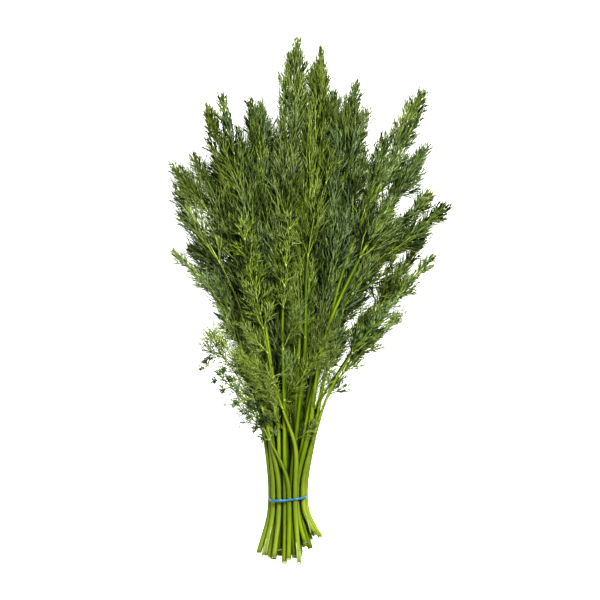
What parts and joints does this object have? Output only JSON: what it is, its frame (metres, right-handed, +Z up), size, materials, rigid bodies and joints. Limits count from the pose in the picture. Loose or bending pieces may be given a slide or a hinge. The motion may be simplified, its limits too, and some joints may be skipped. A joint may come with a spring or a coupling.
{
  "type": "dill bunch",
  "caption": "Bunch of fresh cut dill lying on its side, feathery fronds fanned out from bare stems that a thin rubber band holds together.",
  "frame": {"origin": "under the middle of the bunch, on the surface that it lies on", "axes": "+Z up from the surface; +Y along the bunch from the cut ends to the frond tips; +X to the right when looking down with the tips away from the viewer"},
  "size_m": [0.1958, 0.363, 0.0399],
  "materials": {
    "dill_mid_green": "satin fresh leaf, mid green threads on a yellow-green stem",
    "dill_blue_green": "satin fresh leaf, darker blue-green threads on a yellow-green stem",
    "dill_yellow_green": "satin fresh leaf, yellow-green threads on a yellow-green stem",
    "blue_rubber": "satin sky-blue rubber"
  },
  "bodies": {
    "root": {"sprig_01": "dill_blue_green", "sprig_02": "dill_mid_green", "sprig_03": "dill_yellow_green", "sprig_04": "dill_mid_green", "sprig_05": "dill_blue_green", "sprig_06": "dill_blue_green", "sprig_07": "dill_mid_green", "sprig_08": "dill_yellow_green", "sprig_09": "dill_mid_green", "sprig_10": "dill_blue_green", "sprig_11": "dill_mid_green", "sprig_12": "dill_blue_green", "sprig_13": "dill_yellow_green", "sprig_14": "dill_blue_green", "sprig_15": "dill_mid_green", "sprig_16": "dill_blue_green", "sprig_17": "dill_mid_green", "sprig_18": "dill_yellow_green", "sprig_19": "dill_mid_green", "sprig_20": "dill_yellow_green", "sprig_21": "dill_blue_green", "sprig_22": "dill_mid_green", "sprig_23": "dill_mid_green", "sprig_24": "dill_blue_green", "sprig_25": "dill_mid_green", "sprig_26": "dill_yellow_green", "sprig_27": "dill_mid_green", "sprig_28": "dill_blue_green", "sprig_29": "dill_blue_green", "sprig_30": "dill_mid_green", "sprig_31": "dill_yellow_green", "sprig_32": "dill_blue_green", "sprig_33": "dill_blue_green", "sprig_34": "dill_mid_green", "rubber_band": "blue_rubber"}
  },
  "joints": []
}
